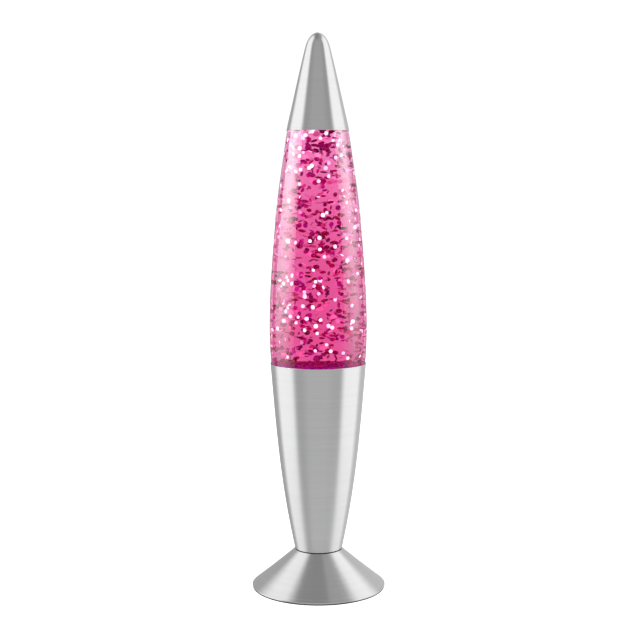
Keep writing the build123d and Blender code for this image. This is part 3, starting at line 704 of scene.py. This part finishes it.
def flake_bed():
    """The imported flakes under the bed's top: small cells, each with its own colour."""
    material, tree, output = new_material("flake_bed")
    shader = tree.add("ShaderNodeBsdfPrincipled")
    shader.inputs["Roughness"].default_value = 0.5
    place = tree.add("ShaderNodeTexCoord")
    cells = tree.add("ShaderNodeTexVoronoi")
    tree.link(place.outputs["Object"], cells.inputs["Vector"])
    cells.inputs["Scale"].default_value = BED_CELL_SCALE
    split = tree.add("ShaderNodeSeparateColor")
    tree.link(cells.outputs["Color"], split.inputs[0])
    colour = tree.add("ShaderNodeMix", data_type="RGBA")
    colour.inputs["A"].default_value = BED_DARK
    colour.inputs["B"].default_value = BED_LIGHT
    tree.link(split.outputs[0], colour.inputs["Factor"])
    tree.link(colour.outputs["Result"], shader.inputs["Base Color"])
    tree.link(shader.outputs[0], output.inputs["Surface"])
    return material


def flake_film(name, dark, light, rough, glow):
    """Dyed metallised film: each flake has its own depth of colour. Glow is painted light:
    an emission in the flake's own colour that paints the glint and sheen such film throws back when it
    faces a lamp."""
    material, tree, output = new_material(name)
    shader = tree.add("ShaderNodeBsdfPrincipled")
    shader.inputs["Roughness"].default_value = rough
    shader.inputs["Specular IOR Level"].default_value = 0.05
    # The emission is painted glint and sheen, not a lamp.
    shader.inputs["Emission Strength"].default_value = glow
    island = tree.add("ShaderNodeNewGeometry")
    colour = tree.add("ShaderNodeMix", data_type="RGBA")
    colour.inputs["A"].default_value = (*dark, 1)
    colour.inputs["B"].default_value = (*light, 1)
    tree.link(island.outputs["Random Per Island"], colour.inputs["Factor"])
    tree.link(colour.outputs["Result"], shader.inputs["Base Color"])
    tree.link(colour.outputs["Result"], shader.inputs["Emission Color"])
    tree.link(shader.outputs[0], output.inputs["Surface"])
    return material


# name: (dark colour, light colour, (least, most roughness), other settings of grained)
GRAINED = {
    "black_plastic": ((0.011, 0.011, 0.012), (0.02, 0.02, 0.021), (0.35, 0.5), {}),
    "white_plastic": ((0.74, 0.74, 0.71), (0.82, 0.82, 0.79), (0.3, 0.42), {}),
    "zinc_steel": ((0.46, 0.47, 0.47), (0.62, 0.62, 0.60), (0.25, 0.45),
                   {"metallic": 1.0, "scale": 500.0}),
    "brass": ((0.66, 0.47, 0.2), (0.8, 0.6, 0.28), (0.22, 0.4), {"metallic": 1.0, "scale": 500.0}),
    "brown_insulation": ((0.10, 0.034, 0.012), (0.13, 0.05, 0.02), (0.35, 0.5), {}),
    "blue_insulation": ((0.012, 0.06, 0.30), (0.02, 0.085, 0.38), (0.35, 0.5), {}),
    "solder": ((0.42, 0.42, 0.42), (0.58, 0.58, 0.58), (0.3, 0.5),
               {"metallic": 1.0, "scale": 700.0, "bump_depth": 0.5}),
    "black_glass": ((0.006, 0.006, 0.008), (0.012, 0.012, 0.016), (0.06, 0.12), {}),
    "nickel_shell": ((0.62, 0.59, 0.53), (0.72, 0.69, 0.63), (0.18, 0.32), {"metallic": 1.0}),
    "wire_steel": ((0.5, 0.5, 0.5), (0.62, 0.62, 0.62), (0.25, 0.4),
                   {"metallic": 1.0, "scale": 1500.0}),
}
# name: (dark colour, light colour, roughness, glow: painted glint and sheen as emission)
FLAKES = {
    "magenta_flakes": ((0.42, 0.0003, 0.25), (0.88, 0.004, 0.46), 0.35, 0.06),
    "pink_flakes": ((0.95, 0.2, 0.6), (1.0, 0.6, 0.9), 0.35, 0.3),
    "violet_flakes": ((0.2, 0.0002, 0.11), (0.42, 0.001, 0.25), 0.35, 0.03),
    # Silver flakes: white with a strong glow, a painted glint.
    "silver_flakes": ((0.9, 0.5, 0.72), (1.0, 1.0, 1.0), 0.3, 1.3),
    "settled_flakes": ((0.42, 0.001, 0.42), (0.85, 0.008, 0.75), 0.4, 0.1),
}
# name: (grey, least roughness, most roughness, anisotropy, depth of the turning lines)
SPUN = {
    "spun_aluminium": (0.905, 0.16, 0.24, 0.7, 0.3),
    "satin_aluminium": (0.885, 0.17, 0.20, 0.6, 0.08),
}
# name: (dark colour, light colour, cell size in metres)
FOAMS = {
    "black_foam": ((0.002, 0.002, 0.002), (0.012, 0.012, 0.013), 0.0005),
    "white_foam": ((0.6, 0.6, 0.58), (0.8, 0.8, 0.78), 0.0006),
}


def make_materials():
    """One material for each slot of the record, and one for each piece that has its own."""
    made = {
        "bulb_glass": reflector_bulb(),
        "clear_glass": clear_glass(),
        "settled_heap": flake_bed(),
        "pink_liquid": pink_liquid(),
    }
    for name, look in SPUN.items():
        made[name] = spun_metal(name, *look)
    for name, look in FOAMS.items():
        made[name] = foam(name, *look)
    for name, (dark, light, rough, more) in GRAINED.items():
        made[name] = grained(name, dark, light, rough, **more)
    for name, look in FLAKES.items():
        made[name] = flake_film(name, *look)
    return made


# ---------------------------------------------------------------- the lamp's visible pieces
BODY_CHAMFER, BODY_CHAMFER_BULGE, BODY_FLOOR_INSET = 0.3, 0.02, 0.25
LIP_CHAMFER, LIP_CHAMFER_IN, LIP_INNER_CHAMFER, LIP_MARGIN = 0.15, 0.12, 0.08, 0.2
CAP_RIM_CHAMFER, CAP_RIM_BULGE, CAP_TIP_THICKNESS = 0.12, 0.02, 1.2
CAP_START, CAP_END, CAP_STEPS = (-0.19, 1), (-1, 0), 10
HEEL_BEND = ((31.2, SEAT_Z), (33.1, 154.2))
SHOULDER_BEND = ((18.9, 352.9), (NECK_OUTER, 351.6))
INNER_HEEL_REACH, INNER_HEEL_RISE = (28.6, 30.9), 0.6
INNER_SHOULDER, INNER_NECK_FOOT_Z = (16.7, 350.8), 349.8
NECK_FOOT_RISE, NECK_END_DROP = 1.0, 0.6
MOUTH_RADIUS = 1.2
PUNT_REACH, PUNT_INSET, PUNT_STEPS = 23.0, 2.0, np.linspace(0.05, 1, 10)
LIQUID_GROWTH = 0.04


def make_body():
    foot_r, foot_z = BODY_LINE[0]
    lip_r = BODY_LINE[-1][0]
    outer = spline(BODY_LINE)
    inner = moved_in(outer, BODY_WALL)[::-1]
    floor = BODY_FLOOR_TOP
    outline = [
        (TUBE_HOLE, foot_z), (foot_r - BODY_CHAMFER, foot_z),
        (foot_r + BODY_CHAMFER_BULGE, foot_z + BODY_CHAMFER),
    ]
    outline += [q for q in outer if foot_z + BODY_CHAMFER < q[1] < LIP_Z - LIP_MARGIN]
    outline += [(lip_r, LIP_Z - LIP_CHAMFER), (lip_r - LIP_CHAMFER_IN, LIP_Z)]
    outline += [(lip_r - BODY_WALL + LIP_INNER_CHAMFER, LIP_Z)]
    outline += [q for q in inner if floor + BODY_CHAMFER < q[1] < LIP_Z - LIP_MARGIN]
    outline += [(foot_r - BODY_WALL + BODY_FLOOR_INSET, floor), (TUBE_HOLE, floor)]
    mesh = lathe("body_cone", outline)
    new_piece("body_cone", mesh, "stand", "spun_aluminium", "body_shell")


def make_cap():
    rim_r, rim_z = CAP_LINE[0]
    outer = spline(CAP_LINE, CAP_STEPS, CAP_START, CAP_END)
    inside = moved_in(CAP_LINE[:-2], CAP_WALL) + [(0.0, CAP_LINE[-1][1] - CAP_TIP_THICKNESS)]
    inner = spline(inside, CAP_STEPS, CAP_START, CAP_END)[::-1]
    outline = [(rim_r - CAP_RIM_CHAMFER, rim_z), (rim_r - CAP_RIM_BULGE, rim_z + CAP_RIM_CHAMFER)]
    outline += outer[1:] + inner[:-1] + [(rim_r - CAP_WALL + LIP_INNER_CHAMFER, rim_z)]
    new_piece("cap_shell", lathe("cap_shell", outline), "cap", "satin_aluminium", "cap_cone")


def make_bottle():
    neck = (NECK_OUTER, NECK_START_Z + NECK_FOOT_RISE)
    outer = bezier((BOTTLE_BASE, SEAT_Z), *HEEL_BEND, GLASS_LINE[0])
    outer += spline(GLASS_LINE)[1:]
    outer += bezier(GLASS_LINE[-1], *SHOULDER_BEND, neck)[1:]
    outer += [(NECK_OUTER, BOTTLE_TOP_Z - NECK_END_DROP)]
    mouth = ((NECK_OUTER + NECK_INNER) / 2, BOTTLE_TOP_Z - MOUTH_RADIUS)
    lip = arc(mouth, MOUTH_RADIUS, 0, 180)
    punt = [(BOTTLE_BASE - PUNT_INSET, SEAT_Z)]
    for t in PUNT_STEPS:
        height = SEAT_Z + PUNT_HEIGHT * math.sin(t * math.pi / 2)
        punt.append((PUNT_REACH * (1 - t), height))
    outline = outer + lip + bottle_inside(0.0)[::-1] + punt[::-1]
    mesh = lathe("bottle_glass", outline, sharp=SHARP_CORNER_GLASS)
    return new_piece("bottle_glass", mesh, "bottle", "clear_glass", "glass_bottle")


def bottle_inside(grow):
    """The bottle's inner outline from the floor's middle to the mouth, grown outwards."""
    base = (BOTTLE_FLOOR + grow, BOTTLE_FLOOR_Z - grow)
    side = moved_in(spline(GLASS_LINE), GLASS_WALL - grow)
    neck = NECK_INNER + grow
    heel_in, heel_out = (reach + grow for reach in INNER_HEEL_REACH)
    heel = ((heel_in, base[1]), (heel_out, base[1] + INNER_HEEL_RISE))
    shoulder = ((INNER_SHOULDER[0] + grow, INNER_SHOULDER[1]), (neck, INNER_NECK_FOOT_Z))
    line = [(0.0, base[1])]
    line += bezier(base, *heel, side[0])
    line += side[1:]
    line += bezier(side[-1], *shoulder, (neck, NECK_START_Z))[1:]
    line += [(neck, BOTTLE_TOP_Z - MOUTH_RADIUS)]
    return line


def make_liquid():
    line = bottle_inside(LIQUID_GROWTH)
    top_r = np.interp(LIQUID_TOP_Z, [q[1] for q in line[1:]], [q[0] for q in line[1:]])
    outline = [q for q in line if q[1] < LIQUID_TOP_Z]
    outline += [(top_r, LIQUID_TOP_Z), (0.0, LIQUID_TOP_Z)]
    mesh = lathe("dyed_liquid", outline, sharp=SHARP_CORNER_GLASS)
    new_piece("dyed_liquid", mesh, "bottle", "pink_liquid", "liquid")


def inner_radius(height):
    line = bottle_inside(0.0)[1:]
    return float(np.interp(height, [q[1] for q in line], [q[0] for q in line]))


# Flakes afloat. Sink over 1 gathers them lower down; a tilt is a spread in radians.
FLAKE_THICKNESS, FLAKE_SIDES = 0.06, 8
FLAKE_COUNT, FLAKE_SINK, FLAKE_TILT = 1100, 1.24, 0.75
FLAKE_RADIUS, FLAKE_GROWTH_UP = (1.2, 1.85), 0.25
FLAKE_CLEAR_LOW, FLAKE_CLEAR_HIGH, FLAKE_CLEAR_SIDE = 1.5, 3.0, 0.4
FLAKE_SHARES = {"magenta": 76, "pink": 9, "violet": 15}
# Glints: white flakes near the glass that mostly face outwards; their white is a painted glint, made by
# the strong glow of their material.
GLINT_COUNT, GLINT_SINK, GLINT_CLEAR_LOW = 275, 1.1, 2.5
GLINT_RADIUS, GLINT_DEPTH, GLINT_TUCK = (1.15, 1.6), (0.5, 9.0), 0.35
GLINT_TILTS, GLINT_TILT_SHARES = (0.25, 1.1), (70, 30)
# The settled bed: a heap, its skin of flat flakes, and flakes against the glass.
BED_COUNT, BED_TILT, BED_RADIUS = 2600, 0.2, (1.1, 1.5)
BED_SKIN_SHARE, BED_SKIN_DEPTH = 0.6, 1.6
BED_CLEAR_FLOOR, BED_CLEAR_SIDE, BED_SIDE_DEPTH = 0.5, 0.3, 1.5
BED_SIDE_TOP = 0.9
HEAP_INSET, HEAP_DROP, HEAP_SEGMENTS = 1.2, 1.0, 96
FLOATING_SEED, BED_SEED = 20, 31


def scatter(out, angle, height):
    return Vector((out * math.cos(angle), out * math.sin(angle), height))


def float_flakes(draw, groups, low, high):
    names, shares = tuple(FLAKE_SHARES), tuple(FLAKE_SHARES.values())
    for _ in range(FLAKE_COUNT):
        height = low + (high - low) * draw.random() ** FLAKE_SINK
        radius = draw.uniform(*FLAKE_RADIUS) + FLAKE_GROWTH_UP * (height - low) / (high - low)
        reach = inner_radius(height) - radius - FLAKE_CLEAR_SIDE
        angle, out = draw.uniform(0, TURN), reach * math.sqrt(draw.random())
        centre = scatter(out, angle, height)
        tilts = (draw.gauss(0, FLAKE_TILT), draw.gauss(0, FLAKE_TILT), draw.uniform(0, TURN))
        name = draw.choices(names, shares)[0]
        groups[name].append((centre, radius, Euler(tilts).to_matrix()))


def float_glints(draw, glints, low, high):
    low = low + GLINT_CLEAR_LOW
    for _ in range(GLINT_COUNT):
        height = low + (high - low) * draw.random() ** GLINT_SINK
        radius = draw.uniform(*GLINT_RADIUS)
        angle = draw.uniform(0, TURN)
        out = inner_radius(height) - radius * GLINT_TUCK - draw.uniform(*GLINT_DEPTH)
        centre = scatter(out, angle, height)
        spread = draw.choices(GLINT_TILTS, GLINT_TILT_SHARES)[0]
        face = Euler((draw.gauss(0, spread), math.pi / 2 + draw.gauss(0, spread), angle))
        glints.append((centre, radius, face.to_matrix()))


def make_flakes():
    """Flakes afloat in the liquid, thicker towards the bottom, in four colours."""
    draw = random.Random(FLOATING_SEED)
    # The silver group holds the flakes whose white is a painted glint.
    groups = {"magenta": [], "pink": [], "violet": [], "silver": []}
    low, high = SETTLED_TOP_Z + FLAKE_CLEAR_LOW, LIQUID_TOP_Z - FLAKE_CLEAR_HIGH
    float_flakes(draw, groups, low, high)
    float_glints(draw, groups["silver"], low, high)
    for name, flakes in groups.items():
        piece = f"{name}_flakes"
        new_piece(piece, flake_mesh(piece, flakes), "bottle", "magenta_flakes", "glitter")


def bed_flakes(draw):
    depth = SETTLED_TOP_Z - BOTTLE_FLOOR_Z
    flakes = []
    for _ in range(BED_COUNT):
        radius = draw.uniform(*BED_RADIUS)
        angle = draw.uniform(0, TURN)
        if draw.random() < BED_SKIN_SHARE:
            height = SETTLED_TOP_Z - draw.uniform(0.0, BED_SKIN_DEPTH)
            reach = inner_radius(height) - radius - BED_CLEAR_SIDE
            out = reach * math.sqrt(draw.random())
        else:
            height = BOTTLE_FLOOR_Z + BED_CLEAR_FLOOR + depth * draw.uniform(0.0, BED_SIDE_TOP)
            reach = inner_radius(height) - radius - BED_CLEAR_SIDE
            out = reach - draw.uniform(0.0, BED_SIDE_DEPTH)
        centre = scatter(out, angle, height)
        tilts = (draw.gauss(0, BED_TILT), draw.gauss(0, BED_TILT), draw.uniform(0, TURN))
        flakes.append((centre, radius, Euler(tilts).to_matrix()))
    return flakes


def make_settled():
    """The bed on the bottle's floor: a low heap under a skin of flakes that lie flat."""
    top = SETTLED_TOP_Z - HEAP_DROP
    line = [q for q in bottle_inside(-HEAP_INSET) if q[1] < top]
    line.append((0.0, top))
    heap = lathe("settled_heap", line, HEAP_SEGMENTS, SHARP_CORNER_GLASS)
    new_piece("settled_heap", heap, "bottle", "settled_flakes", "settled_glitter")
    skin = flake_mesh("settled_flakes", bed_flakes(random.Random(BED_SEED)))
    new_piece("settled_flakes", skin, "bottle", "settled_flakes", "settled_glitter")


# ---------------------------------------------------------------- put together
def dress(materials, made):
    """Every piece and every CAD node still shown gets its own or its slot's material."""
    for piece in made:
        name = piece.name if piece.name in materials else piece["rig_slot"]
        piece.data.materials.clear()
        piece.data.materials.append(materials[name])
    for node in nodes.values():
        for slot in node.material_slots:
            if slot.material:
                name = slot.material.name.split(".")[0]
                slot.material = materials.get(name, slot.material)


def light_glass(glass):
    glass_only = bpy.data.collections.new("glass_only")
    glass_only.objects.link(glass)
    for name, look in SOFTBOXES.items():
        softbox(name, *look, glass_only)


make_camera()
make_world()
make_floor()
bpy.context.scene.view_settings.view_transform = "Standard"

make_body()
make_cap()
glass = make_bottle()
make_liquid()
make_flakes()
make_settled()
own = [piece for piece in bpy.context.scene.objects if "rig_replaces" in piece]
dress(make_materials(), own)
light_glass(glass)
